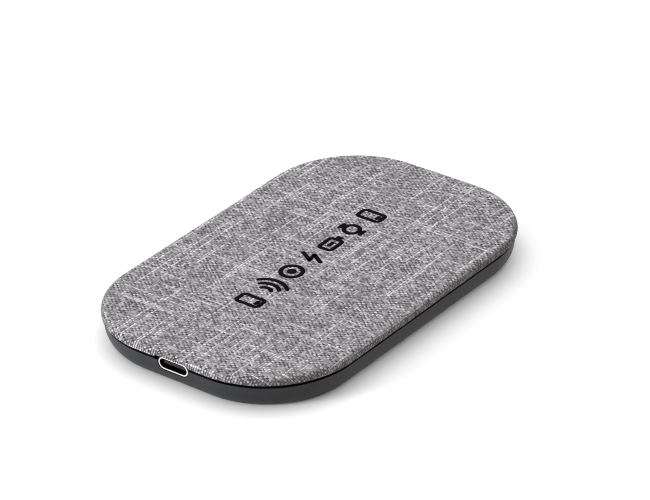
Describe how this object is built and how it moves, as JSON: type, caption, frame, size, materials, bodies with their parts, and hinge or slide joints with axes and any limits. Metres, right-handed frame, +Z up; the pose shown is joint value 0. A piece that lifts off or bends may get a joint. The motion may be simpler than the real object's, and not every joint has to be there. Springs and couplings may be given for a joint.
{
  "type": "wireless charging pad",
  "caption": "Low rounded-rectangle charging pad with a woven cloth top, a dark bowl-sided tray, a USB-C socket in one short end, and a coil and circuit board inside.",
  "frame": {"origin": "centre of the pad's outline, on the plane that the four feet rest on", "axes": "+Y along the pad's length, away from the cable socket; +Z up through its thickness; +X across its width, to the right when looking along +Y"},
  "size_m": [0.07, 0.11, 0.009],
  "materials": {
    "cloth": "matte",
    "film": "satin",
    "shell_plastic": "matte",
    "tray_plastic": "satin",
    "litz_copper": "satin",
    "ferrite": "matte",
    "foam": "matte",
    "bead": "gloss",
    "sleeving": "satin",
    "board": "satin",
    "socket_steel": "satin",
    "insulator": "matte",
    "contact_gold": "satin",
    "chip_body": "matte",
    "tin": "satin",
    "capacitor_ceramic": "satin",
    "inductor_body": "matte",
    "screw_steel": "satin",
    "foot_rubber": "matte"
  },
  "bodies": {
    "root": {"fabric_cover": "cloth", "fabric_adhesive": "film", "top_shell": "shell_plastic", "bottom_tray": "tray_plastic", "coil_adhesive": "film", "transmitter_coil": "litz_copper", "coil_leads": "litz_copper", "ferrite_shield": "ferrite", "foam_pad": "foam", "thermistor": "bead", "thermistor_leads": "sleeving", "main_board": "board", "usb_shell": "socket_steel", "usb_tongue": "insulator", "usb_contacts": "contact_gold", "controller_chip": "chip_body", "port_chip": "chip_body", "bridge_mosfets": "chip_body", "chip_terminals": "tin", "resonant_capacitors": "capacitor_ceramic", "input_capacitors": "capacitor_ceramic", "filter_inductor": "inductor_body", "chip_resistors": "chip_body", "component_terminals": "tin", "solder_joints": "tin", "board_screws": "screw_steel", "case_screws": "screw_steel", "foot_front_left": "foot_rubber", "foot_front_right": "foot_rubber", "foot_rear_left": "foot_rubber", "foot_rear_right": "foot_rubber"}
  },
  "joints": []
}
